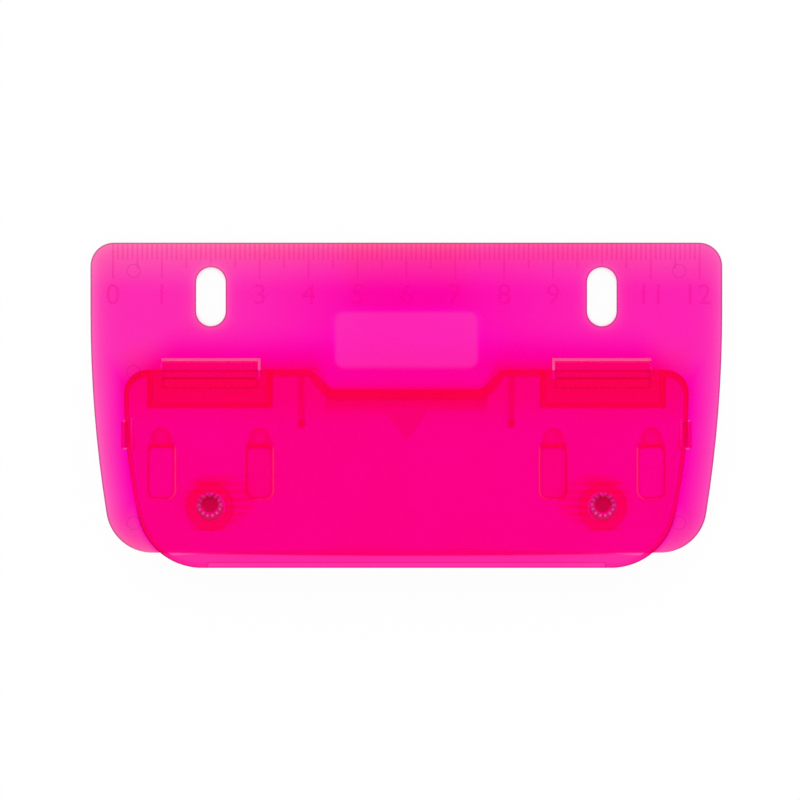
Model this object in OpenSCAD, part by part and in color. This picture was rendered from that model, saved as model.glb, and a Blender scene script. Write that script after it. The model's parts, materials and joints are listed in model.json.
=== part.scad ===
// Pocket two-hole punch for ring binders, with a 12 cm ruler edge.
// X runs along the ruler, Y points to the ruler edge, Z is up.
// The origin is the middle of the outline, on the underside.

/* [Overall] */
// Depth from the ruler edge to the front edge of the lever
overall_d = 66.3; // [64:0.1:72]
// Spacing of the two holes, which is also that of the rings and the hinges
hole_spacing = 80; // [76:0.1:84]
// From the middle of a hole to the side of the base
base_margin = 24.6; // [22:0.1:28]
// From the middle of a hole to the side of the lever
lever_margin = 17.4; // [16:0.1:19]
// Thickness of the base plate
base_t = 2; // [1.6:0.1:2.6]

/* [Base outline] */
// How far the base's front corners stay behind the front edge of the lever
base_setback = 2.9; // [1.5:0.05:4]
// How far the base's front edge bows out at its middle
base_bow = 0.65; // [0.3:0.05:1.2]
// Radius of the two ruler corners
ruler_corner_r = 4.8; // [2:0.1:8]
// Radius of the two front corners of the base
base_corner_r = 9.5; // [6:0.1:12]
// Straight part of each side, from the ruler edge
base_straight = 14.2; // [8:0.1:18]
// Radius of the curved part of each side
base_side_r = 260; // [200:5:400]

/* [Ring slots] */
// Width of a ring slot
slot_w = 6.1; // [5:0.1:7]
// Length of a ring slot
slot_len = 12.1; // [9:0.1:14]
// Middle of the slots from the ruler edge
slot_from_edge = 11.05; // [9:0.05:12]

/* [Label recess] */
// Length of the recess at its rim
label_w = 31.6; // [20:0.1:40]
// Depth of the recess from front to back, at its rim
label_d = 12.3; // [8:0.1:12.6]
// How deep the recess goes
label_depth = 0.35; // [0.2:0.05:0.9]
// Corner radius at the rim
label_r = 2.2; // [1.6:0.1:3]
// Width of the sloping wall
label_slope = 0.9; // [0.3:0.1:1.2]
// Back of the recess from the ruler edge
label_from_edge = 13.5; // [12.6:0.1:13.8]

/* [Lever plate] */
// Thickness of the plate
lever_t = 1.5; // [1.2:0.1:2.2]
// Clear height between the base and the plate
throat_h = 5.1; // [5:0.05:6]
// Rear edge of the lever from the ruler edge
lever_from_edge = 26.08; // [26:0.02:26.6]
// Radius of the rear corners
lever_rear_r = 4.7; // [3:0.1:4.8]
// Radius of the front corners
lever_front_r = 13.3; // [10:0.1:16]
// Straight part of each side, from the rear edge
lever_straight = 5.1; // [5.1:0.1:6]
// Radius of the curved part of each side
lever_side_r = 108; // [100:1:160]
// Width of the centre notch at its bottom
notch_w = 30.6; // [20:0.1:31]
// Depth of the centre notch
notch_d = 4.07; // [2:0.01:4.5]
// How far each side of the notch slants
notch_slant = 3.7; // [2:0.1:3.9]
// Radius of the corners of the notch
notch_r = 2.4; // [1:0.1:3]

/* [Lever walls] */
// Thickness of the side skirts
skirt_t = 0.9; // [0.7:0.05:1.2]
// Thickness of the rear rim
rim_t = 1.4; // [1:0.05:1.6]
// How far the rear rim hangs below the plate beside the notch
rim_h = 3; // [2:0.1:3.4]
// Thickness of the rim along the notch
notch_rim_t = 1.5; // [1.2:0.1:2.4]
// How far the slope in front of that rim reaches under the plate
notch_web_d = 3; // [1:0.1:4]
// Height of that slope at the rim
notch_web_h = 2.4; // [1:0.1:3.6]
// Width of the thicker band along the front edge, at its middle
band_w = 4.15; // [2:0.05:6]
// Radius of the back of that band
band_r = 680; // [300:10:1000]
// How much thicker the band is than the plate
band_h = 0.85; // [0.6:0.05:1.2]
// Width of the step under the front edge
lip_w = 1.05; // [0.6:0.05:1.8]
// Height of that step
lip_h = 0.3; // [0.1:0.05:0.5]
// Length of that step
lip_len = 81; // [40:1:82]

/* [Travel] */
// Angle that the lever turns when it is pressed
travel = 5.5; // [4.5:0.1:5.6]
// Room left between the base and the walls of the pressed lever
land_gap = 0.3; // [0.2:0.05:0.6]
// Room around pieces that pass each other
pass_gap = 0.35; // [0.3:0.05:0.4]
// Room where the lever rests against the catches
rest_gap = 0.08; // [0.04:0.02:0.2]

/* [Hinges] */
// Width of a hook
hook_w = 19.6; // [14:0.1:19.8]
// Thickness of the hook's upright
hook_t = 1.85; // [1.4:0.05:2]
// Thickness of the lip above the bar
hook_lip_t = 2.95; // [2:0.05:3.1]
// How far the lip reaches behind the bar's middle
hook_reach = 2.75; // [2.2:0.05:3.2]
// How far the lip reaches down past the top of the bar
hook_wrap = 0.5; // [0.2:0.05:0.7]
// How far the nose at the lip's end hangs down further
hook_nose = 0.8; // [0.3:0.05:1]
// Bevel on the lip's edges
hook_bevel = 0.35; // [0.1:0.05:0.5]
// How far the mould window runs past the lip
window_past_lip = 0.6; // [0.3:0.05:1]
// Diameter of the hinge bar
bar_d = 1.8; // [1.7:0.05:2]
// Height of the hinge bar's underside above the base
bar_lift = 1.6; // [1.4:0.05:1.7]
// Running clearance around the bar
bar_gap = 0.05; // [0.03:0.01:0.08]
// How far the hook's head stands out over its upright, in front and at the sides
hook_brow = 0.35; // [0.3:0.05:0.4]
// Room under the part of the head that stands out
brow_gap = 0.25; // [0.2:0.05:0.4]
// Room in front of the hook's upright, at the top of the well's floor
hook_clear = 0.15; // [0.1:0.05:0.4]
// How much wider that room is at the bottom, where the pressed lever swings back
hook_slant = 0.5; // [0.4:0.05:0.7]
// Room beside the hook in the lever
hook_side_gap = 0.12; // [0.1:0.02:0.35]
// Width of a hinge well
well_w = 25.5; // [24:0.1:25.8]
// Depth of a hinge well from the rear edge
well_d = 7.73; // [7:0.01:8]
// Thickness of the well's walls
well_t = 1.1; // [0.8:0.05:1.2]
// Height of the well's floor above the base
well_floor_h = 4.6; // [3.6:0.1:4.8]

/* [Paper stops] */
// Distance from the stops to the middle of the holes
stop_to_hole = 12; // [11:0.1:13]
// Spacing of the two stops beside each hole
stop_spacing = 20; // [17:0.1:21]
// Width of a stop
stop_w = 4.2; // [3.6:0.1:4.8]
// Length of a stop
stop_len = 4.1; // [3:0.1:4.6]
// Height of a stop above the base
stop_h = 2.35; // [2.3:0.05:2.8]
// Depth of the core in the underside of a stop
stop_core_d = 1.3; // [0.5:0.1:1.5]
// Wall around that core
stop_wall = 0.9; // [0.7:0.05:1.2]
// Width of a hold-down tongue
tongue_w = 5.5; // [4:0.1:5.8]
// Length of a tongue in front of its stop
tongue_len = 10.4; // [6:0.1:11]
// Thickness of a tongue
tongue_t = 1.85; // [1:0.05:1.9]
// Room for paper under a tongue
paper_gap = 0.5; // [0.4:0.05:0.55]
// Radius of a tongue's front corners
tongue_r = 1.6; // [0.8:0.1:1.9]
// Room around a tongue in the window below it
tongue_gap = 0.05; // [0.05:0.05:0.4]

/* [Side catches] */
// Middle of the catches from the ruler edge
catch_from_edge = 39.3; // [38:0.1:40]
// Length of a catch
catch_len = 5.3; // [4:0.1:6]
// Thickness of the upright
catch_t = 0.7; // [0.6:0.05:1]
// Length of the barb
barb_len = 1.1; // [0.9:0.05:1.15]
// Height of the barb's underside above the base
barb_h = 2.4; // [2.35:0.05:2.7]
// Height of the barb
barb_rise = 0.6; // [0.4:0.05:1]
// Room between a catch and the lever's side
catch_clear = 0.2; // [0.15:0.05:0.35]
// How far the upright's foot stands in the plate
catch_root = 0.2; // [0.1:0.05:0.4]
// Room at each end of a catch in its window
catch_gap = 0.35; // [0.3:0.05:0.8]

/* [Cutters] */
// Middle of the holes from the ruler edge
hole_from_edge = 53.9; // [53:0.1:54.4]
// Outside diameter of a cutter
cutter_od = 5.4; // [5:0.1:6]
// Bore of a cutter
cutter_id = 3.6; // [3:0.1:4]
// Clearance of a cutter in its die hole
die_gap = 0.3; // [0.25:0.05:0.5]
// How far a pressed cutter goes into the base
bite = 1.6; // [1.3:0.05:1.8]
// Plastic left above a cutter
skin_t = 0.7; // [0.5:0.05:0.9]
// How far the core in a cutter stays above its cutting edge
core_up = 0.8; // [0.6:0.1:2]
// Number of notches in a cutter's top end
notch_count = 12; // [8:1:16]
// Width of such a notch
notch_cut_w = 0.5; // [0.3:0.05:0.7]
// Depth of such a notch
notch_cut_d = 0.5; // [0.3:0.05:0.8]

/* [Finger pads] */
// Diameter of the boss around a cutter
boss_d = 9.8; // [8:0.1:10.4]
// Diameter of a ridged pad
pad_d = 12.2; // [9:0.1:12.6]
// Number of ridges
ridge_count = 7; // [5:1:8]
// Pitch of the ridges
ridge_pitch = 1.53; // [1.3:0.01:1.7]
// Width of a ridge
ridge_w = 0.6; // [0.4:0.05:0.9]
// Height of a ridge
ridge_h = 0.7; // [0.2:0.05:0.8]
// Flat round between the ridges, above the cutter
pad_flat_d = 6; // [5.6:0.1:7]

/* [Return springs] */
// Spacing of the two spring fingers
finger_spacing = 42.8; // [42.6:0.1:46]
// Width of a finger
finger_w = 1.3; // [0.9:0.05:1.4]
// Thickness of a finger
finger_t = 1.2; // [0.8:0.05:1.3]
// Length of a finger from its root to its foot
finger_len = 8.9; // [7:0.1:10]
// Diameter of the foot
foot_d = 1.6; // [1.3:0.05:1.9]
// Height of a finger's middle above the base
finger_h = 3.2; // [2.6:0.05:3.2]
// Room between the foot and the base
foot_gap = 0.18; // [0.16:0.02:0.3]
// Room between a finger's root and the rim
root_gap = 0.07; // [0.04:0.01:0.1]

/* [Hidden] */
$fn = 96;
eps = 0.5;
hair = 0.01;
base_w = hole_spacing + 2 * base_margin;
lever_w = hole_spacing + 2 * lever_margin;
ruler_y = overall_d / 2;
lever_front_y = -overall_d / 2;
base_front_y = lever_front_y + base_setback;
lever_rear_y = ruler_y - lever_from_edge;
plate_z = base_t + throat_h;
top_z = plate_z + lever_t;
slot_y = ruler_y - slot_from_edge;
label_y = ruler_y - label_from_edge - label_d / 2;
bar_r = bar_d / 2;
bar_y = lever_rear_y - bar_r;
bar_z = base_t + bar_lift + bar_r;
seat_r = bar_r + bar_gap;
hook_rear_y = bar_y + hook_reach;
hook_back_y = bar_y - seat_r;
hook_front_y = hook_back_y - hook_t;
hook_under_z = bar_z + bar_r - hook_wrap;
nose_y = bar_y + seat_r + bar_gap / 2;
nose_z = hook_under_z - hook_nose;
hook_top_z = bar_z + seat_r + hook_lip_t;
window_w = hook_w + 2 * pass_gap;
upright_w = hook_w - 2 * hook_brow;
floor_z = base_t + well_floor_h;
head_z = floor_z + brow_gap;
notch_rim_y = lever_rear_y - notch_d - notch_rim_t;
well_front_y = lever_rear_y - well_d;
floor_rear_y = hook_front_y + hook_brow - hook_clear;
bow_half = base_w / 2 - 1.4 * base_corner_r;
bow_r = (bow_half * bow_half + base_bow * base_bow) / (2 * base_bow);
hole_y = ruler_y - hole_from_edge;
tip_z = base_t - bite;
stop_y = hole_y + stop_to_hole;
tongue_z = base_t + paper_gap;
tongue_front_y = stop_y - tongue_len;
catch_y = ruler_y - catch_from_edge;
barb_z = base_t + barb_h;
lever_side_y = lever_rear_y - lever_straight;
catch_x = side_x(lever_w / 2, lever_side_r, lever_side_y, catch_y + catch_len / 2) + catch_clear;
finger_root_y = lever_rear_y - rim_t - root_gap - finger_t / 2;
finger_z = base_t + finger_h;
plastic = [1, 0.13, 0.64];
plastic_deep = [1, 0.02, 0.52];
steel = [0.72, 0.72, 0.74];

// Half width of an outline at y, where its side leaves the straight part at y0 on an arc of radius r
function side_x(half_w, r, y0, y) = half_w - r + sqrt(r * r - pow(min(y, y0) - y0, 2));

// Outline with straight rear sides, arcs that draw in towards the front, and four rounded corners
module tapered_outline(half_w, rear_y, front_y, side_y, side_r, rear_r, front_r) {
    corner_y = front_y + front_r;
    corner_x = half_w - side_r + sqrt(pow(side_r - front_r, 2) - pow(corner_y - side_y, 2));
    turn = atan2(corner_y - side_y, corner_x - half_w + side_r);
    meet = [corner_x + front_r * cos(turn), corner_y + front_r * sin(turn)];
    rear_c = [half_w - rear_r, rear_y - rear_r];
    translate([-half_w, side_y])
        square([2 * half_w, rear_c[1] - side_y]);
    translate([-rear_c[0], rear_c[1]])
        square([2 * rear_c[0], rear_r]);
    intersection() {
        polygon([
            [-half_w, side_y], [half_w, side_y], [half_w, meet[1]], meet, [corner_x, front_y],
            [-corner_x, front_y], [-meet[0], meet[1]], [-half_w, meet[1]]
        ]);
        translate([half_w - side_r, side_y]) circle(r = side_r);
        translate([side_r - half_w, side_y]) circle(r = side_r);
    }
    for (s = [-1, 1]) {
        translate([s * rear_c[0], rear_c[1]]) circle(r = rear_r);
        translate([s * corner_x, corner_y]) circle(r = front_r + hair);
    }
}

module base_outline() {
    tapered_outline(base_w / 2, ruler_y, base_front_y, ruler_y - base_straight, base_side_r,
        ruler_corner_r, base_corner_r);
    intersection() {
        translate([-bow_half, base_front_y - 2 * base_bow]) square([2 * bow_half, 2 * base_bow + eps]);
        translate([0, base_front_y - base_bow + bow_r]) circle(r = bow_r);
    }
}

module lever_blank() {
    tapered_outline(lever_w / 2, lever_rear_y, lever_front_y, lever_side_y, lever_side_r,
        lever_rear_r, lever_front_r);
}

// Shape that widens from its bottom to its top, with its two bottom corners rounded
module notch_shape(half, bottom_y, top_y, slant, r) {
    turn = atan2(top_y - bottom_y, slant);
    run = r * tan(turn / 2);
    side = [half + run * cos(turn), bottom_y + run * sin(turn)];
    polygon([
        [run - half, bottom_y], [half - run, bottom_y], [half - run, bottom_y + r], side,
        [half + slant, top_y], [-half - slant, top_y], [-side[0], side[1]], [run - half, bottom_y + r]
    ]);
    for (s = [-1, 1])
        translate([s * (half - run), bottom_y + r]) circle(r = r + hair);
}

module lever_outline() {
    turn = atan2(notch_d, notch_slant);
    run = notch_r * tan(turn / 2);
    top_x = notch_w / 2 + notch_slant;
    round_y = lever_rear_y - notch_r;
    difference() {
        lever_blank();
        notch_shape(notch_w / 2, lever_rear_y - notch_d, lever_rear_y, notch_slant, notch_r);
        polygon([
            [top_x - run * cos(turn), lever_rear_y - run * sin(turn)], [top_x + run, round_y],
            [top_x + run, lever_rear_y + eps], [-top_x - run, lever_rear_y + eps],
            [-top_x - run, round_y], [run * cos(turn) - top_x, lever_rear_y - run * sin(turn)]
        ]);
    }
    for (s = [-1, 1])
        translate([s * (top_x + run), round_y]) circle(r = notch_r + hair);
}

// Space inside the skirts and the rear rim
module lever_inside() {
    rear = lever_rear_y - rim_t;
    difference() {
        tapered_outline(lever_w / 2 - skirt_t, rear, lever_front_y + skirt_t, lever_side_y,
            lever_side_r - skirt_t, lever_rear_r - skirt_t, lever_front_r - skirt_t);
        notch_shape(notch_w / 2 + rim_t, notch_rim_y, rear + eps, notch_slant, notch_r + notch_rim_t);
    }
}

// Room below the rear rim, between the notch and the hinge wells
module rim_relief() {
    inner = notch_w / 2 + rim_t;
    outer = hole_spacing / 2 - well_w / 2;
    for (s = [0, 1])
        mirror([s, 0, 0])
            translate([inner, notch_rim_y - eps, 0])
                cube([outer - inner, lever_rear_y - notch_rim_y + 2 * eps, plate_z - rim_h]);
}

// Slope between the plate and the rim of the notch
module notch_web() {
    under_z = plate_z - notch_web_h;
    inside_z = plate_z + lever_t / 2;
    across(0, notch_w + 1.6 * rim_t)
        polygon([
            [notch_rim_y + notch_rim_t / 2, under_z], [notch_rim_y, under_z],
            [notch_rim_y - notch_web_d, plate_z], [notch_rim_y - notch_web_d, inside_z],
            [notch_rim_y + notch_rim_t / 2, inside_z]
        ]);
}

module slot_shape(w, len) {
    run = len - w;
    translate([-w / 2, -run / 2]) square([w, run]);
    for (s = [-1, 1])
        translate([0, s * run / 2]) circle(d = w);
}

module rounded_rect(w, d, r) {
    square([w - 2 * r, d], center = true);
    square([w, d - 2 * r], center = true);
    for (x = [-1, 1], y = [-1, 1])
        translate([x * (w / 2 - r), y * (d / 2 - r)]) circle(r = r, $fn = 32);
}

// Profile in the YZ plane, drawn out along X and centred on x
module across(x, w) {
    translate([x - w / 2, 0, 0])
        rotate([90, 0, 90])
            linear_extrude(w) children();
}

module label_recess() {
    translate([0, label_y, base_t])
        hull() {
            translate([0, 0, -label_depth])
                linear_extrude(0.01)
                    rounded_rect(label_w - 2 * label_slope, label_d - 2 * label_slope, label_r - label_slope);
            linear_extrude(0.01) rounded_rect(label_w, label_d, label_r);
        }
}

module hook(x) {
    across(x, upright_w)
        difference() {
            polygon([
                [hook_front_y + hook_brow, 0], [hook_back_y, 0], [hook_back_y, hook_under_z],
                [nose_y, hook_under_z], [nose_y, nose_z], [hook_rear_y, nose_z],
                [hook_rear_y, head_z + eps], [hook_front_y + hook_brow, head_z + eps]
            ]);
            translate([bar_y, bar_z]) circle(r = seat_r);
        }
    across(x, hook_w)
        polygon([
            [hook_front_y, head_z], [hook_rear_y, head_z], [hook_rear_y, hook_top_z - hook_bevel],
            [hook_rear_y - hook_bevel, hook_top_z], [hook_front_y + hook_bevel, hook_top_z],
            [hook_front_y, hook_top_z - hook_bevel]
        ]);
}

module hook_window(x) {
    translate([x - window_w / 2, hook_back_y, -eps])
        cube([window_w, hook_rear_y + window_past_lip - hook_back_y, base_t + 2 * eps]);
}

module paper_stop(x) {
    translate([x, 0, 0]) {
        linear_extrude(base_t + stop_h) {
            translate([-stop_w / 2, stop_y]) square([stop_w, stop_len - stop_w / 2]);
            translate([0, stop_y + stop_len - stop_w / 2]) circle(d = stop_w);
        }
        translate([0, 0, tongue_z]) linear_extrude(tongue_t) tongue_shape(tongue_w, 0, tongue_r);
    }
}

module stop_core(x) {
    translate([x - stop_w / 2 + stop_wall, stop_y + stop_wall, -eps])
        cube([stop_w - 2 * stop_wall, stop_len - 2 * stop_wall, stop_core_d + eps]);
}

module tongue_shape(w, past, r) {
    front = tongue_front_y - past;
    translate([-w / 2, front + r]) square([w, stop_y - front - r + (past > 0 ? 0 : stop_len / 4)]);
    translate([-w / 2 + r, front]) square([w - 2 * r, r]);
    for (s = [-1, 1])
        translate([s * (w / 2 - r), front + r]) circle(r = r);
}

module tongue_window(x) {
    translate([x, 0, -eps])
        linear_extrude(base_t + 2 * eps)
            tongue_shape(tongue_w + 2 * tongue_gap, tongue_gap, tongue_r + tongue_gap);
}

module side_catch() {
    translate([0, catch_y + catch_len / 2, 0])
        rotate([90, 0, 0])
            linear_extrude(catch_len)
                polygon([
                    [catch_x, 0], [catch_x + catch_t, 0], [catch_x + catch_t, barb_z + barb_rise],
                    [catch_x, barb_z + barb_rise], [catch_x - barb_len, barb_z + barb_rise / 3],
                    [catch_x - barb_len, barb_z], [catch_x, barb_z]
                ]);
}

module catch_window() {
    translate([catch_x - barb_len - pass_gap, catch_y - catch_len / 2 - catch_gap, -eps])
        cube([barb_len + pass_gap + catch_t - catch_root, catch_len + 2 * catch_gap, base_t + 2 * eps]);
}

module base() {
    color(plastic) {
        difference() {
            union() {
                difference() {
                    linear_extrude(base_t) base_outline();
                    for (s = [-1, 1]) {
                        translate([s * hole_spacing / 2, slot_y, -eps])
                            linear_extrude(base_t + 2 * eps) slot_shape(slot_w, slot_len);
                        for (t = [-1, 1])
                            tongue_window(s * hole_spacing / 2 + t * stop_spacing / 2);
                        hook_window(s * hole_spacing / 2);
                    }
                    catch_window();
                    mirror([1, 0, 0]) catch_window();
                    label_recess();
                }
                for (s = [-1, 1]) {
                    hook(s * hole_spacing / 2);
                    for (t = [-1, 1])
                        paper_stop(s * hole_spacing / 2 + t * stop_spacing / 2);
                }
                side_catch();
                mirror([1, 0, 0]) side_catch();
            }
            for (s = [-1, 1]) {
                translate([s * hole_spacing / 2, hole_y, -eps])
                    cylinder(d = cutter_od + 2 * die_gap, h = base_t + 2 * eps);
                for (t = [-1, 1])
                    stop_core(s * hole_spacing / 2 + t * stop_spacing / 2);
            }
        }
    }
}

// Turns a piece drawn in the pressed position up to the rest position
module raised() {
    translate([0, bar_y, bar_z])
        rotate([-travel, 0, 0])
            translate([0, -bar_y, -bar_z]) children();
}

// Height of a cutter's top end when pressed, so that the skin above it is left at rest
cutter_top_z = bar_z + (hole_y - bar_y) * tan(travel) + (top_z - skin_t - bar_z) / cos(travel)
    - cutter_od / 2 * tan(travel);

module cutter_tube(x) {
    raised()
        translate([x, hole_y, tip_z])
            difference() {
                cylinder(d = cutter_od, h = cutter_top_z - tip_z);
                translate([0, 0, -eps]) cylinder(d = cutter_id, h = cutter_top_z - tip_z + 2 * eps);
            }
}

module cutter(x) {
    color(steel)
        difference() {
            cutter_tube(x);
            raised()
                translate([x, hole_y, cutter_top_z - notch_cut_d])
                    for (i = [0 : notch_count - 1])
                        rotate([0, 0, 360 * i / notch_count])
                            translate([0, -notch_cut_w / 2, 0])
                                cube([cutter_od, notch_cut_w, notch_cut_d + eps]);
        }
}

module left_cutter() {
    cutter(-hole_spacing / 2);
}

module right_cutter() {
    cutter(hole_spacing / 2);
}

// Everything below the plane on which the walls of the pressed lever land
module landing_cut() {
    raised()
        translate([-lever_w, lever_front_y - eps, base_t + land_gap - 20])
            cube([2 * lever_w, overall_d, 20]);
}

module well_block(x) {
    translate([x - well_w / 2, well_front_y, base_t])
        cube([well_w, well_d, top_z - base_t]);
}

module well_hollow(x) {
    inner = well_w - 2 * well_t;
    translate([x - inner / 2, well_front_y + well_t, floor_z])
        cube([inner, well_d, top_z - floor_z + eps]);
    across(x, upright_w + 2 * hook_side_gap)
        polygon([
            [floor_rear_y - hook_slant, base_t - eps], [floor_rear_y, floor_z], [floor_rear_y, top_z + eps],
            [lever_rear_y + eps, top_z + eps], [lever_rear_y + eps, base_t - eps]
        ]);
}

module hinge_bar(x) {
    translate([x - well_w / 2, bar_y, bar_z])
        rotate([0, 90, 0]) cylinder(r = bar_r, h = well_w);
}

// Slot for a barb, tall enough for the way that the lever goes down beside it
module catch_slot() {
    drop = (bar_y - catch_y + catch_len / 2) * sin(travel);
    slot_top = min(barb_z + barb_rise + drop + rest_gap, plate_z);
    translate([catch_x - barb_len - 2 * skirt_t, catch_y - catch_len / 2 - pass_gap, barb_z - rest_gap])
        cube([barb_len + 3 * skirt_t, catch_len + 2 * pass_gap, slot_top - barb_z + rest_gap]);
}

module finger_pad(x) {
    translate([x, hole_y, top_z])
        intersection() {
            difference() {
                cylinder(d = pad_d, h = ridge_h);
                translate([0, 0, -eps]) cylinder(d = pad_flat_d, h = ridge_h + 2 * eps);
            }
            for (i = [0 : ridge_count - 1])
                translate([-pad_d, (i - (ridge_count - 1) / 2) * ridge_pitch - ridge_w / 2, -eps])
                    cube([2 * pad_d, ridge_w, ridge_h + eps]);
        }
}

// Thicker band along the front edge, bowed at its back and stepped under the edge
module front_band() {
    difference() {
        translate([0, 0, plate_z - band_h])
            linear_extrude(band_h)
                intersection() {
                    lever_blank();
                    translate([0, lever_front_y + band_w - band_r]) circle(r = band_r);
                }
        translate([-lip_len / 2, lever_front_y - eps, plate_z - band_h - eps])
            cube([lip_len, lip_w + eps, lip_h + eps]);
    }
}

module lever() {
    color(plastic_deep) {
        difference() {
            union() {
                difference() {
                    union() {
                        translate([0, 0, plate_z]) linear_extrude(lever_t) lever_outline();
                        difference() {
                            union() {
                                difference() {
                                    translate([0, 0, base_t])
                                        linear_extrude(throat_h)
                                            difference() {
                                                lever_outline();
                                                lever_inside();
                                                translate([-lip_len / 2, lever_front_y - eps])
                                                    square([lip_len, lever_front_r]);
                                            }
                                    rim_relief();
                                }
                                for (s = [-1, 1]) {
                                    well_block(s * hole_spacing / 2);
                                    translate([s * hole_spacing / 2, hole_y, base_t]) cylinder(d = boss_d, h = throat_h);
                                }
                            }
                            landing_cut();
                        }
                    }
                    for (s = [-1, 1])
                        well_hollow(s * hole_spacing / 2);
                    catch_slot();
                    mirror([1, 0, 0]) catch_slot();
                }
                front_band();
                notch_web();
                for (s = [-1, 1]) {
                    hinge_bar(s * hole_spacing / 2);
                    finger_pad(s * hole_spacing / 2);
                    raised()
                        translate([s * hole_spacing / 2, hole_y, tip_z + core_up])
                            cylinder(d = cutter_id, h = cutter_top_z - tip_z - core_up);
                }
            }
            for (s = [-1, 1])
                cutter_tube(s * hole_spacing / 2);
        }
    }
}

module spring_finger(x) {
    foot_z = base_t + foot_gap;
    foot_y = finger_root_y - finger_len;
    color(plastic_deep) {
        translate([x - finger_w / 2, finger_root_y, finger_z])
            rotate([0, 90, 0]) cylinder(d = finger_t, h = finger_w);
        translate([x - finger_w / 2, foot_y, finger_z - finger_t / 2])
            cube([finger_w, finger_len, finger_t]);
        translate([x, foot_y, foot_z]) cylinder(d = foot_d, h = finger_z + finger_t / 2 - foot_z);
    }
}

module left_spring_finger() {
    spring_finger(-finger_spacing / 2);
}

module right_spring_finger() {
    spring_finger(finger_spacing / 2);
}

base();
lever();
left_cutter();
right_cutter();
left_spring_finger();
right_spring_finger();
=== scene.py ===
"""Pocket two-hole punch for ring binders: clear pink mouldings, steel cutters and a raised 12 cm ruler."""

import json
from math import atan2, cos, pi, sin, sqrt

import bpy
import numpy as np
from mathutils import Matrix


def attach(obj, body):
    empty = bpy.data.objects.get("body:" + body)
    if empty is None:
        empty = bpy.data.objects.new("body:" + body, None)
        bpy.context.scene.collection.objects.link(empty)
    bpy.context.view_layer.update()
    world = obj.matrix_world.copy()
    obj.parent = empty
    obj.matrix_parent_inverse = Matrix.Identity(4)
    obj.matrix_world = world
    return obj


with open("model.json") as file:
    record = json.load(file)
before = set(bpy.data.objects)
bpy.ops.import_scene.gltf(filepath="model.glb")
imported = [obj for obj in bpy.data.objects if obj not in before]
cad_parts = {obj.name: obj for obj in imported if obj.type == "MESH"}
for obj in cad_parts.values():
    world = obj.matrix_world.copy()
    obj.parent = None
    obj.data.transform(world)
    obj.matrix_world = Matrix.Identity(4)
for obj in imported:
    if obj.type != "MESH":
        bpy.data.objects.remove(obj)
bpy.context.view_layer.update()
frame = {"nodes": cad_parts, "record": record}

MM = 0.001
WHITE = (1.0, 1.0, 1.0, 1.0)

# The ruler's marks and numbers, and the mark in the middle of the lever
BASE_TOP = 2.0 * MM
BASE_REAR = 33.15
RULER_EDGE = BASE_REAR * MM
RULER_ZERO = -60.0 * MM
RULER_CM = 12
MARK_RISE = 0.14 * MM
MARK_SINK = 0.02 * MM
MARK_WIDTH = 0.34 * MM
MARK_LENGTHS = {"millimetre": 3.5 * MM, "half": 5.3 * MM, "centimetre": 7.4 * MM}
MARK_EDGE_GAP = 0.25 * MM
SLOT_MARK = 4.6 * MM
NUMBER_HEIGHT = 4.1 * MM
FIGURE_SHARE = 0.69  # height of a figure over the size of its font
NUMBER_RISE = 0.2 * MM
NUMBER_MIDDLE = 22.6 * MM
SLOT_NUMBERS = (2, 10)
LEVER_TOP = 8.6 * MM
CENTRE_MARK = ((-4.2, -1.6), (4.2, -1.6), (0.0, -7.6))
CENTRE_MARK_RISE = 0.3 * MM

# Places that the colours read, in millimetres, the same on the left and on the right
BASE_OUTLINE = dict(half=64.6, rear=BASE_REAR, front=-30.25,
                    side_y=18.95, side_r=260.0, rear_r=4.8, front_r=9.5)
LEVER_OUTLINE = dict(half=57.4, rear=7.07, front=-33.15,
                     side_y=1.97, side_r=108.0, rear_r=4.7, front_r=13.3)
NOTCH_FLOOR_X = 15.3
NOTCH_TOP_X = 19.0
NOTCH_DEPTH = 4.07
HOLE_X = 40.0
HOLE_Y = -20.75
SLOT_Y = 22.1
SLOT_RUN = 3.0
SLOT_R = 3.05
LABEL = dict(at_x=0.0, at_y=13.24, half_x=14.5, half_y=5.75, radius=1.9)
TONGUE = dict(at_x=10.0, at_y=-13.8, half_x=2.75, half_y=5.35, radius=1.6)
HOOK = dict(at_x=40.1, at_y=7.0, half_x=9.8, half_y=1.8, radius=0.4)
UPRIGHT = dict(HOOK, at_y=4.3, half_y=0.95)
EJECTOR_X = 55.8
EJECTOR_Y = (27.4, 6.7, -24.2)
EJECTOR_R = 1.35
LIP_HALF = 40.5
LIP_Y = -32.1
CATCH_Y = -6.15
CATCH_HALF = 3.05
CATCH_IN = 1.75
CUTTER_TOP_Y = -20.3
CORE_R = 1.9
RING_R = 2.5
PAD_X = 38.2
PAD_Y = -19.4
PAD_R = 6.2
PAD_SQUEEZE = 0.72
RIDGE_PITCH = 1.53
BOSS_END = 4.8

# Widths of the thin lines in the colours, in millimetres: painted shade lines and the ejectors' rings
RIM_LINE = 0.7
EJECTOR_LINE = 0.3
TONGUE_LINE = 0.9
LEVER_LINE = 0.56
LIP_LINE = 0.36
BOSS_LINE = 1.4

# Finishes
PLASTIC_IOR = 1.3
PLASTIC_SHEEN = (1.0, 0.03, 0.6, 1.0)
ABSORB_DENSITY = 2000.0
BASE_ABSORB = (1.0, 0.55, 0.865, 1.0)
BASE_ROUGHNESS = 0.28
LEVER_ABSORB = (1.0, 0.215, 0.865, 1.0)
LEVER_ROUGHNESS = 0.2
GRAIN_SCALE = 2600.0
CLOUD_SCALE = 60.0
STEEL = (0.86, 0.86, 0.87, 1.0)
# Rosy colour painted on the dull facets of the cutters' top ends, between white painted glints
DULL_FACET = (0.75, 0.16, 0.22, 1.0)
FACETS = 14.0
TOP_END_Z = (7.0, 7.3)
CUTTER_SKIN = 0.015 * MM

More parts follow.
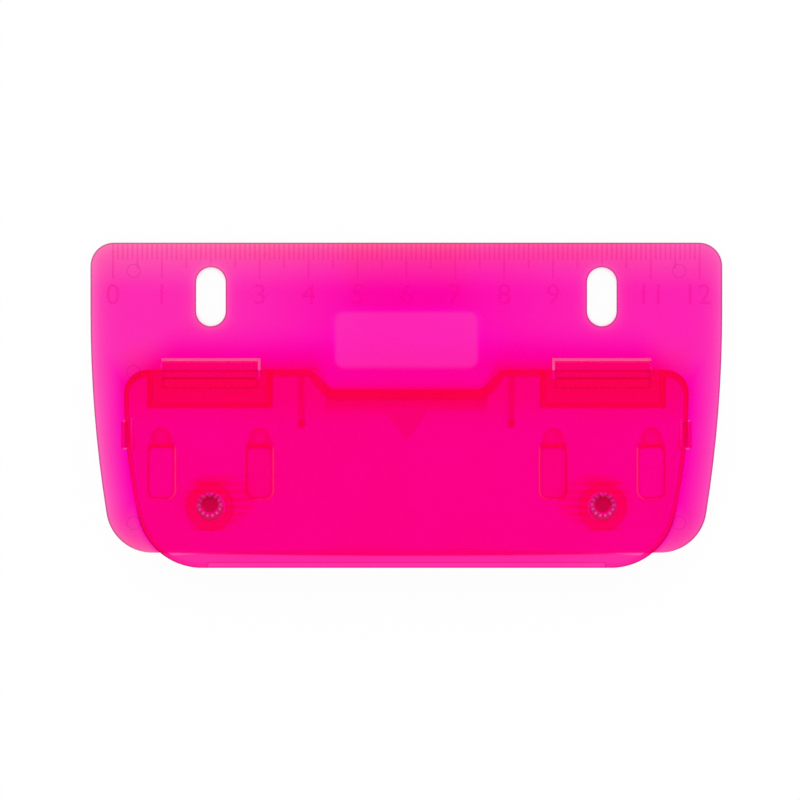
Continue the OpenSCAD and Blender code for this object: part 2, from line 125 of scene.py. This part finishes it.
# Stage and camera
FLOOR_HALF = 3.0
FLOOR_Z = -0.05 * MM
FLOOR_GREY = (0.96, 0.96, 0.96, 1.0)
# Painted pink glow of the floor in gaps that the punch shades
GAP_PINK = (1.0, 0.07, 0.28, 1.0)
GAP_REACH = 20.0 * MM
SKY_SIDES = (1.1, 1.1, 1.1, 1.0)
SKY_TOP = (0.95, 0.95, 0.95, 1.0)
CAMERA_AT = (-1.3 * MM, 0.97 * MM)
CAMERA_UP = 1100.0 * MM
PHOTO_FIELD = 163.6 * MM
SENSOR = 36.0


class Wire:
    """A shader socket that takes part in Python arithmetic: an expression on values adds its Math nodes."""

    def __init__(self, tree, socket=None):
        self.tree = tree
        self.socket = socket

    def node(self, kind, settings=None, inputs=None, out=0):
        """Adds a node of that kind, sets it up, fills or links its sockets and returns one of its outputs."""
        made = self.tree.nodes.new(kind)
        for name, value in (settings or {}).items():
            setattr(made, name, value)
        for name, value in (inputs or {}).items():
            if isinstance(value, Wire):
                self.tree.links.new(value.socket, made.inputs[name])
            else:
                made.inputs[name].default_value = value
        return Wire(self.tree, made.outputs[out] if made.outputs else None)

    def math(self, operation, *values):
        return self.node("ShaderNodeMath", {"operation": operation}, dict(enumerate(values)))

    def __add__(self, other):
        return self.math("ADD", self, other)

    def __mul__(self, other):
        return self.math("MULTIPLY", self, other)

    def __sub__(self, other):
        return self.math("SUBTRACT", self, other)

    def __rsub__(self, other):
        return self.math("SUBTRACT", other, self)

    def __truediv__(self, other):
        return self.math("DIVIDE", self, other)

    __radd__ = __add__
    __rmul__ = __mul__

    def size(self):
        return self.math("ABSOLUTE", self)

    def least(self, other):
        return self.math("MINIMUM", self, other)

    def most(self, other):
        return self.math("MAXIMUM", self, other)

    def length(self, other):
        """Length of the vector whose two parts are this value and the other."""
        return self.math("SQRT", self * self + other * other)

    def fade(self, reach):
        """1 at 0, dying away over about that reach."""
        return self.math("EXPONENT", 0.0 - self / reach)

    def line(self, width):
        """1 where this distance is 0, down to 0 half a width to either side."""
        return 1.0 - self.size().smooth(0.15 * width, 0.5 * width)

    def smooth(self, low, high):
        """0 below low, 1 above high, with a soft step between."""
        return self.node("ShaderNodeMapRange", {"interpolation_type": "SMOOTHSTEP"},
                         {"Value": self, "From Min": low, "From Max": high})

    def blend(self, low, high):
        """Colour that goes from low to high as this value goes from 0 to 1."""
        return self.node("ShaderNodeMix", {"data_type": "RGBA"}, {0: self, 6: low, 7: high}, 2)


def new_material(name):
    """An empty node material and a Wire into its tree."""
    material = bpy.data.materials.new(name)
    material.use_nodes = True
    material.node_tree.nodes.clear()
    return material, Wire(material.node_tree)


def place(wire):
    """The surface's point in the shared frame, as a vector in metres and as X, Y and Z in millimetres."""
    point = wire.node("ShaderNodeTexCoord", out="Object")
    return point, [wire.node("ShaderNodeSeparateXYZ", inputs={0: point}, out=i) / MM for i in range(3)]


def side_depth(x, y, outline):
    """How far a point lies inside the side of an outline, which is straight and then an arc."""
    across = x.size() - (outline["half"] - outline["side_r"])
    return outline["side_r"] - across.length((y - outline["side_y"]).least(0.0))


def edge_depth(x, y, outline):
    """How far a point lies inside an outline: the least distance to its sides, ends and rounded corners."""
    side, back = side_depth(x, y, outline), outline["rear"] - y
    rear_r, front_r = outline["rear_r"], outline["front_r"]
    rounded = (rear_r - side).most(0.0).length((rear_r - back).most(0.0))
    side_x = outline["half"] - outline["side_r"]
    corner_y = outline["front"] + front_r
    drop = corner_y - outline["side_y"]
    corner_x = side_x + sqrt((outline["side_r"] - front_r) ** 2 - drop ** 2)
    turn = atan2(drop, corner_x - side_x)
    out, down = x.size() - corner_x, y - corner_y
    in_corner = x.math("GREATER_THAN", out.least(out * sin(turn) - down * cos(turn)), 0.0)
    corner = front_r - out.length(down) + (1.0 - in_corner) * 2.0 * outline["half"]
    return (side.least(back).most(rear_r) - rounded).least(y - outline["front"]).least(corner)


def round_box(x, y, at_x, at_y, half_x, half_y, radius):
    """How far a point lies outside a rectangle with rounded corners; inside it is negative."""
    over_x = (x - at_x).size() - (half_x - radius)
    over_y = (y - at_y).size() - (half_y - radius)
    return over_x.most(0.0).length(over_y.most(0.0)) + over_x.most(over_y).least(0.0) - radius


def behind_lever(x, y):
    """How far a point lies behind the lever's rear edge with its notch, and 0 in the notch, 1 beside it."""
    beside = x.size().smooth(NOTCH_FLOOR_X, NOTCH_TOP_X)
    return y - LEVER_OUTLINE["rear"] + NOTCH_DEPTH * (1.0 - beside), beside


def from_cutter_axis(x, y):
    """How far a point lies from the middle of the nearer cutter's top end."""
    return (x.size() - HOLE_X).length(y - CUTTER_TOP_Y)


def slot_gap(x, y):
    """How far a point lies outside the nearer ring slot."""
    past_run = ((y - SLOT_Y).size() - SLOT_RUN).most(0.0)
    return (x.size() - HOLE_X).length(past_run) - SLOT_R


def ejector_rings(x, y):
    """Thin rings that the mould's ejectors leave; the middle one on the right is fainter."""
    from_axes = [(x.size() - EJECTOR_X).length(y - at) for at in EJECTOR_Y]
    rear, middle, front = [(away - EJECTOR_R).line(EJECTOR_LINE) for away in from_axes]
    return rear + middle * (1.0 - 0.8 * x.smooth(-1.0, 1.0)) + front


def base_haze(x, y, edge, slot):
    """Painted light on the base: paler to its sides and ruler, most at its edges and slots, less on the
    right.
    """
    sides = 0.13 * x.size().smooth(4.0, 46.0)
    ruler = (0.12 + 0.003 * x.size()) * (1.0 - (BASE_REAR - y).smooth(2.0, 10.5))
    rims = 0.66 * edge.fade(1.4) + 0.4 * slot.fade(0.8)
    return (0.006 + sides + ruler + rims) * (1.1 - 0.35 * x.smooth(-5.0, 30.0))


def base_tongues(x, y):
    """Painted shade of the tongues over the base's windows: a dark line round each and a shade over the inner
    ones.
    """
    window = round_box((x.size() - HOLE_X).size(), y, **TONGUE)
    inner = 1.0 - x.size().smooth(39.0, 41.0)
    return 0.6 * window.line(TONGUE_LINE) + 0.2 * (1.0 - window.smooth(-0.5, 0.3)) * inner


def lever_shadow(x, y):
    """Soft shadow on the base behind the lever's rear edge, with none at the hooks and past its corners."""
    gap, beside = behind_lever(x, y)
    soft = gap.most(0.0).fade(1.0 + 0.5 * beside) * gap.smooth(-0.2, 0.0)
    off_hook = (x.size() - HOOK["at_x"]).size().smooth(HOOK["half_x"] - 0.2, HOOK["half_x"] + 0.2)
    return soft * off_hook * (0.62 - 0.62 * x.size().smooth(49.0, 57.0))


def base_tint(x, y):
    """Pink of the base, label paler: painted light at edges and slots, painted shade by lever, hooks and
    tongues.
    """
    edge, slot = edge_depth(x, y, BASE_OUTLINE), slot_gap(x, y)
    label = 1.0 - round_box(x, y, **LABEL).smooth(-0.6, 0.6)
    hook = 1.0 - round_box(x.size(), y, **HOOK).smooth(-0.3, 0.3)
    upright = 1.0 - round_box(x.size(), y, **UPRIGHT).smooth(-0.3, 0.3)

    # Painted shade by the lever: the open share is 0 near the lever's rear and sides, 1 away from it
    behind = y - 9.5 + 6.0 * x.size().smooth(46.0, 58.0)
    aside = 0.0 - side_depth(x, y, LEVER_OUTLINE)
    out_of_lever_shade = behind.smooth(0.0, 8.0).most(aside.smooth(0.0, 5.0))
    # The strip just outside the lever's front corners, which gets its own painted light and shade
    corner = (0.0 - edge_depth(x, y, LEVER_OUTLINE)).smooth(0.0, 1.5) * (1.0 - y.smooth(-26.0, -18.0))

    # Painted shade lines along the base's edges away from the lever and round its slots; the ejectors' rings
    # are its own moulding marks
    rims = (1.0 - 0.4 * edge.line(RIM_LINE) * out_of_lever_shade) * (1.0 - 0.4 * slot.line(RIM_LINE))
    lines = rims * (1.0 - 0.2 * ejector_rings(x, y))

    # Painted shade deepens the blue along the lever's rear edge, less over the label, in the middle behind
    # the label and along the ruler edge's middle; painted light pales the sides
    along_lever = (1.0 - (y - 5.0).size().smooth(2.0, 10.0)) * (1.0 - x.size().smooth(56.0, 60.0))
    shade = along_lever * (1.0 - 0.55 * label)
    middle = (1.0 - x.size().smooth(8.0, 17.0)) * y.smooth(19.0, 21.0)
    top = (1.0 - (BASE_REAR - y).smooth(1.5, 7.0)) * (1.0 - x.size().smooth(34.0, 58.0))
    deep = 0.755 - 0.19 * shade + 0.1 * side_depth(x, y, BASE_OUTLINE).fade(1.5)
    deep = deep * (1.0 - 0.15 * middle) * (1.0 - 0.15 * top) * (1.0 - 0.06 * label)
    # Painted shade over the tongues and the hooks' lips, painted light on the hooks' uprights
    deep = deep * (1.0 - base_tongues(x, y)) * (1.0 - 0.17 * hook + 0.3 * upright)
    # The lever's painted shadow, and painted shade beside its front corners
    deep = deep * (1.0 - lever_shadow(x, y)) * (1.0 - 0.12 * corner)

    # Painted light fades where the lever's painted shade falls, except beside its front corners; the label is
    # paler
    pale = base_haze(x, y, edge, slot) * out_of_lever_shade.most(corner) + 0.075 * label
    return lines, pale * lines, deep * lines


def mark_tint(x, y):
    """Pink of the raised marks: all but clear, because they lie on the base, which has the colour already."""
    return 1.0, 0.8, 0.93


def finger_pad(x, y, core_shade, ring):
    """Painted shade on the ridged pad round each cutter: cosine stripes along Y, and a line at the boss's
    ends.
    """
    from_cutter = from_cutter_axis(x, y)
    from_pad = ((x.size() - PAD_X) * PAD_SQUEEZE).length(y - PAD_Y)
    on_pad = (1.0 - from_pad.smooth(PAD_R - 2.2, PAD_R)) * (1.0 - core_shade) * (1.0 - ring)
    ridges = 0.5 + 0.5 * x.math("COSINE", (y - HOLE_Y) * (2.0 * pi / RIDGE_PITCH))
    across = 1.0 - (x.size() - HOLE_X).size().smooth(2.4, 4.4)
    ends = ((y - CUTTER_TOP_Y).size() - BOSS_END).line(BOSS_LINE) * across
    return on_pad * (0.03 + 0.1 * from_cutter.smooth(4.3, 4.9) + 0.3 * ridges) + 0.3 * ends


def lever_tint(x, y):
    """Pink of the lever: even, with painted light on its rim and cutter rings and painted shade on pads and
    cores.

    Painted shade lines run at its front edge and lip; painted shade over the side catches hides the pale
    strips that their windows in the base would show.
    """
    depth = edge_depth(x, y, LEVER_OUTLINE)
    # Painted shade lines along the lever's front edge and its lip; the front strip is deeper blue, paler
    # green towards its ends
    edge = depth.line(LEVER_LINE) * (1.0 - y.smooth(-27.0, -18.0))
    lip = (x.size() - LIP_HALF).most(y - LIP_Y).line(LIP_LINE)
    front = 1.0 - y.smooth(-30.4, -29.6)
    front_ends = front * x.size().smooth(28.0, 42.0)

    # Painted shade over the side catches, so that their windows in the base don't show through as pale strips
    beside_catch = (y - CATCH_Y).size().smooth(CATCH_HALF - 0.1, CATCH_HALF + 0.1)
    painted_catch_shade = (1.0 - beside_catch) * (1.0 - depth.smooth(CATCH_IN - 0.15, CATCH_IN + 0.15))

    # Painted shade on the plastic core inside each cutter tube, and painted light over the tube's ring so
    # that its glints show; the pads get painted shade
    from_cutter = from_cutter_axis(x, y)
    core_shade = 1.0 - from_cutter.smooth(0.75 * CORE_R, CORE_R)
    ring = (from_cutter - 0.5 * (CORE_R + RING_R + 0.2)).line(2.0 * (RING_R - CORE_R + 0.2))
    pad = finger_pad(x, y, core_shade, ring)

    # Painted light: a paler blue over the side rims and the notch's rim
    gap, beside = behind_lever(x, y)
    side_rim = (1.0 - depth.smooth(1.2, 1.5)) * x.size().smooth(50.0, 53.0)
    notch_rim = gap.smooth(-1.7, -1.4) * (1.0 - beside)
    rim = side_rim.most(notch_rim) * y.smooth(-26.0, -18.0)

    red = (1.0 - 0.35 * edge - 0.1 * lip) * (1.0 - 0.4 * core_shade)
    green = (0.8 + 0.2 * ring.most(front_ends)) * (1.0 - 0.5 * edge) * (1.0 - 0.5 * lip)
    blue = (0.81 + 0.03 * ring + 0.19 * rim) * (1.0 - 0.45 * edge) * (1.0 - 0.3 * lip)
    blue = blue * (1.0 - pad) * (1.0 - 0.78 * core_shade) * (1.0 - 0.17 * front)
    return red, green * (1.0 - 0.95 * painted_catch_shade), blue * (1.0 - 0.45 * painted_catch_shade)


def pink_plastic(name, tint, absorb, roughness):
    """Clear tinted plastic with a satin grain: it darkens with the thickness that the light crosses."""
    material, wire = new_material(name)
    point, (x, y, _) = place(wire)
    grain = wire.node("ShaderNodeTexNoise", inputs={"Vector": point, "Scale": GRAIN_SCALE, "Detail": 2.0})
    cloud = wire.node("ShaderNodeTexNoise", inputs={"Vector": point, "Scale": CLOUD_SCALE, "Detail": 2.0})
    mottle = 0.97 + 0.06 * cloud.smooth(0.3, 0.7)
    # The base's and lever's tints carry painted light and shade
    red, green, blue = tint(x, y)
    colour = wire.node("ShaderNodeCombineColor", inputs={0: red, 1: green * mottle, 2: blue * mottle})
    bump = wire.node("ShaderNodeBump", inputs={"Height": grain, "Strength": 0.12, "Distance": 0.02 * MM})
    surface = wire.node("ShaderNodeBsdfPrincipled", inputs={
        "Base Color": colour,
        "Roughness": roughness - 0.03 + 0.06 * grain,
        "IOR": PLASTIC_IOR,
        "Specular Tint": PLASTIC_SHEEN,
        "Transmission Weight": 1.0,
        "Normal": bump,
    })
    volume = wire.node("ShaderNodeVolumeAbsorption", inputs={"Color": absorb, "Density": ABSORB_DENSITY})
    wire.node("ShaderNodeOutputMaterial", inputs={"Surface": surface, "Volume": volume})
    return material


def drawn_steel(name):
    """Bright drawn steel, scratched along the tube; its rolled-in top end has bumped facets, painted as white
    glints and rosy dull parts.
    """
    material, wire = new_material(name)
    point, (x, y, z) = place(wire)
    stretched = wire.node("ShaderNodeMapping", inputs={"Vector": point, "Scale": (9000.0, 9000.0, 900.0)})
    scratch = wire.node("ShaderNodeTexNoise", inputs={"Vector": stretched, "Scale": 1.0, "Detail": 2.0})
    round_way = x.math("ARCTAN2", y - CUTTER_TOP_Y, x.size() - HOLE_X)
    facet = x.math("SINE", round_way * FACETS + 4.0 * scratch)
    from_axis = from_cutter_axis(x, y)
    rim = from_axis.smooth(CORE_R, CORE_R + 0.15) * (1.0 - from_axis.smooth(RING_R - 0.1, RING_R + 0.1))
    painted_glints = (facet.smooth(-0.4, 0.5) * rim).blend(DULL_FACET, WHITE)
    height = 0.012 * facet + 0.006 * scratch
    bump = wire.node("ShaderNodeBump", inputs={"Height": height, "Strength": 1.0, "Distance": 1.0 * MM})
    surface = wire.node("ShaderNodeBsdfPrincipled", inputs={
        "Base Color": z.smooth(*TOP_END_Z).blend(STEEL, painted_glints),
        "Metallic": 1.0,
        "Roughness": 0.2 + 0.2 * scratch,
        "Normal": bump,
    })
    wire.node("ShaderNodeOutputMaterial", inputs={"Surface": surface})
    return material


def white_floor(name):
    """Pale floor: white round the punch and through its plastic; shaded gaps glow a painted pink that stands
    in for tinted light.
    """
    material, wire = new_material(name)
    seen = wire.node("ShaderNodeLightPath", out="Is Camera Ray")
    through = wire.node("ShaderNodeLightPath", out="Is Transmission Ray")
    openness = wire.node("ShaderNodeAmbientOcclusion", {"samples": 16}, {"Distance": GAP_REACH}, out="AO")
    own_light = seen * 0.95 + through
    shown = openness.smooth(0.2, 0.45).most(through).blend(GAP_PINK, WHITE)
    diffuse = wire.node("ShaderNodeBsdfDiffuse", inputs={"Color": FLOOR_GREY})
    glow = wire.node("ShaderNodeEmission", inputs={"Color": shown, "Strength": 1.0})
    mixed = wire.node("ShaderNodeMixShader", inputs={0: own_light, 1: diffuse, 2: glow})
    wire.node("ShaderNodeOutputMaterial", inputs={"Surface": mixed})
    return material


def studio(name):
    """A bright dome, a little dimmer overhead, that the camera itself sees as plain white."""
    world = bpy.data.worlds.new(name)
    world.use_nodes = True
    world.node_tree.nodes.clear()
    sky = Wire(world.node_tree)
    direction = sky.node("ShaderNodeTexCoord", out="Generated")
    height = sky.node("ShaderNodeSeparateXYZ", inputs={0: direction}, out=2)
    dome = height.smooth(0.45, 0.85).blend(SKY_SIDES, SKY_TOP)
    lit = sky.node("ShaderNodeBackground", inputs={"Color": dome, "Strength": 1.0})
    plain = sky.node("ShaderNodeBackground", inputs={"Color": WHITE, "Strength": 1.0})
    seen = sky.node("ShaderNodeLightPath", out="Is Camera Ray")
    shown = sky.node("ShaderNodeMixShader", inputs={0: seen, 1: lit, 2: plain})
    sky.node("ShaderNodeOutputWorld", inputs={"Surface": shown})
    return world


def ridge_marks(name, middles, lengths, width, rise):
    """Ruler marks: a trapezium, wider at its foot, carried along Y from near the edge, closed at its ends."""
    across = np.array([-0.5, -0.3, 0.3, 0.5]) * width
    up = np.array([-MARK_SINK, rise, rise, -MARK_SINK]) + BASE_TOP
    near = RULER_EDGE - MARK_EDGE_GAP
    ends = np.stack([np.full_like(lengths, near), RULER_EDGE - lengths], axis=1)
    points = np.zeros((len(middles), 2, 4, 3))
    points[..., 0] = middles[:, None, None] + across
    points[..., 1] = ends[:, :, None]
    points[..., 2] = up
    box = np.array([[0, 4, 5, 1], [1, 5, 6, 2], [2, 6, 7, 3], [3, 7, 4, 0], [0, 1, 2, 3], [7, 6, 5, 4]])
    faces = (box[None] + 8 * np.arange(len(middles))[:, None, None]).reshape(-1, 4)
    mesh = bpy.data.meshes.new(name)
    mesh.from_pydata(points.reshape(-1, 3).tolist(), [], faces.tolist())
    return mesh


def number(value, x):
    """A raised number: the flat figure thickened upwards, centred on x at the numbers' line."""
    curve = bpy.data.curves.new(f"number_{value}", "FONT")
    curve.body = str(value)
    curve.align_x = "CENTER"
    curve.align_y = "CENTER"
    curve.size = NUMBER_HEIGHT / FIGURE_SHARE
    curve.extrude = 0.5 * (NUMBER_RISE + MARK_SINK)
    text = bpy.data.objects.new("figure", curve)
    bpy.context.scene.collection.objects.link(text)
    bpy.context.view_layer.update()
    mesh = bpy.data.meshes.new_from_object(text)
    bpy.data.objects.remove(text)
    mesh.name = f"number_{value}"
    points = np.zeros(len(mesh.vertices) * 3)
    mesh.vertices.foreach_get("co", points)
    points = points.reshape(-1, 3)
    middle = 0.5 * (points.min(axis=0) + points.max(axis=0))
    lift = BASE_TOP + 0.5 * (NUMBER_RISE - MARK_SINK)
    mesh.transform(Matrix.Translation((x - middle[0], NUMBER_MIDDLE - middle[1], lift - middle[2])))
    return mesh


def raised_mark(name, corners, low, high):
    """A flat mark: a polygon given by its corners, carried up from one height to another and closed."""
    flat = np.array(corners) * MM
    count = len(flat)
    points = np.concatenate([np.column_stack([flat, np.full(count, z)]) for z in (low, high)])
    ring = np.arange(count)
    following = (ring + 1) % count
    sides = np.stack([ring, following, following + count, ring + count], axis=1)[:, ::-1]
    mesh = bpy.data.meshes.new(name)
    mesh.from_pydata(points.tolist(), [], sides.tolist() + [ring.tolist(), (ring[::-1] + count).tolist()])
    return mesh


def add_piece(mesh, body, material):
    """Puts a finished mesh into the scene, on its body, with the finish of its slot."""
    mesh.materials.clear()
    mesh.materials.append(material)
    piece = bpy.data.objects.new(mesh.name, mesh)
    bpy.context.scene.collection.objects.link(piece)
    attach(piece, body)


base_plastic = pink_plastic("base_plastic", base_tint, BASE_ABSORB, BASE_ROUGHNESS)
lever_plastic = pink_plastic("lever_plastic", lever_tint, LEVER_ABSORB, LEVER_ROUGHNESS)
mark_plastic = pink_plastic("mark_plastic", mark_tint, BASE_ABSORB, BASE_ROUGHNESS)
cutter_steel = drawn_steel("cutter_steel")
finishes = {"base_plastic": base_plastic, "lever_plastic": lever_plastic, "cutter_steel": cutter_steel}
for subpart in frame["record"]["subparts"]:
    mesh = frame["nodes"][subpart["node"]].data
    mesh.materials.clear()
    mesh.materials.append(finishes[subpart["material_slot"]])

# A hair of air round the moulded-in tubes, so that light meets the plastic's skin and then the steel
for node in ("left_cutter", "right_cutter"):
    skin = frame["nodes"][node].modifiers.new("skin", "DISPLACE")
    skin.strength = -CUTTER_SKIN
    skin.mid_level = 0.0

steps = np.arange(RULER_CM * 10 + 1)
kinds = np.where(steps % 10 == 0, "centimetre", np.where(steps % 5 == 0, "half", "millimetre"))
mark_lengths = np.array([MARK_LENGTHS[kind] for kind in kinds])
mark_lengths[[10 * value for value in SLOT_NUMBERS]] = SLOT_MARK
marks = ridge_marks("ruler_marks", RULER_ZERO + steps * MM, mark_lengths, MARK_WIDTH, MARK_RISE)
add_piece(marks, "base", mark_plastic)
for value in range(RULER_CM + 1):
    if value not in SLOT_NUMBERS:
        add_piece(number(value, RULER_ZERO + 10 * value * MM), "base", mark_plastic)

arrow = raised_mark("centre_mark", CENTRE_MARK, LEVER_TOP - MARK_SINK, LEVER_TOP + CENTRE_MARK_RISE)
add_piece(arrow, "lever", lever_plastic)

quarters = ((-1, -1), (1, -1), (1, 1), (-1, 1))
floor_corners = [(along * FLOOR_HALF, across * FLOOR_HALF, FLOOR_Z) for along, across in quarters]
floor_mesh = bpy.data.meshes.new("floor")
floor_mesh.from_pydata(floor_corners, [], [(0, 1, 2, 3)])
floor_mesh.materials.append(white_floor("floor"))
floor = bpy.data.objects.new("floor", floor_mesh)
bpy.context.scene.collection.objects.link(floor)
bpy.context.scene.world = studio("studio")

lens = bpy.data.cameras.new("camera")
lens.sensor_width = SENSOR
lens.lens = SENSOR * CAMERA_UP / PHOTO_FIELD
camera = bpy.data.objects.new("camera", lens)
camera.location = (*CAMERA_AT, BASE_TOP + CAMERA_UP)
bpy.context.scene.collection.objects.link(camera)
bpy.context.scene.camera = camera
bpy.context.scene.view_settings.view_transform = "Standard"
bpy.context.scene.cycles.max_bounces = 24
bpy.context.scene.cycles.glossy_bounces = 10
bpy.context.scene.cycles.transmission_bounces = 20
